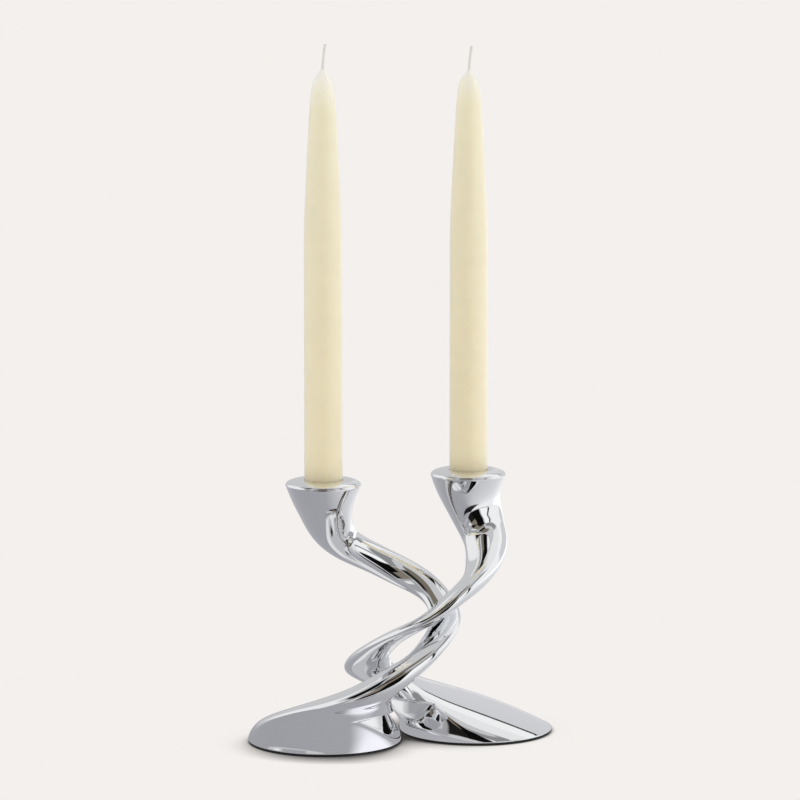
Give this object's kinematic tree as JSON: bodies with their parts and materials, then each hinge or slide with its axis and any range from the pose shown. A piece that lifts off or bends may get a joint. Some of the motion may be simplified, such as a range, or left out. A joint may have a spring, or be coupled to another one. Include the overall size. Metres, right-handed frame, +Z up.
{
  "type": "spiral candle holder",
  "caption": "Nested pair of polished spiral candlesticks, each a round foot that unwinds into a curved stem and a flared cup holding a tall dinner candle.",
  "frame": {"origin": "on the table, at the bottom centre of the whole pair", "axes": "+Z up; the front, as pictured, faces -Y; +X to the right"},
  "size_m": [0.177, 0.1494, 0.4065],
  "materials": {
    "polished_metal": "mirror polished casting",
    "pad": "matte",
    "wax": "smooth ivory wax",
    "cotton": "braided cotton"
  },
  "bodies": {
    "left_candlestick": {"left_casting": "polished_metal", "left_foot_pad": "pad"},
    "left_taper": {"left_candle": "wax", "left_wick": "cotton"},
    "right_candlestick": {"right_casting": "polished_metal", "right_foot_pad": "pad"},
    "right_taper": {"right_candle": "wax", "right_wick": "cotton"}
  },
  "joints": [
    {"name": "left_candle_lift", "type": "slide", "parent": "left_candlestick", "child": "left_taper", "axis": [0, 0, 1], "range_m": [0, 0.025]},
    {"name": "right_candlestick_turn", "type": "hinge", "parent": "left_candlestick", "child": "right_candlestick", "pos_m": [0.04399, 0.03021, 0], "axis": [0, 0, 1], "range_deg": [-9, 1.5]},
    {"name": "right_candle_lift", "type": "slide", "parent": "right_candlestick", "child": "right_taper", "axis": [0, 0, 1], "range_m": [0, 0.025]}
  ]
}
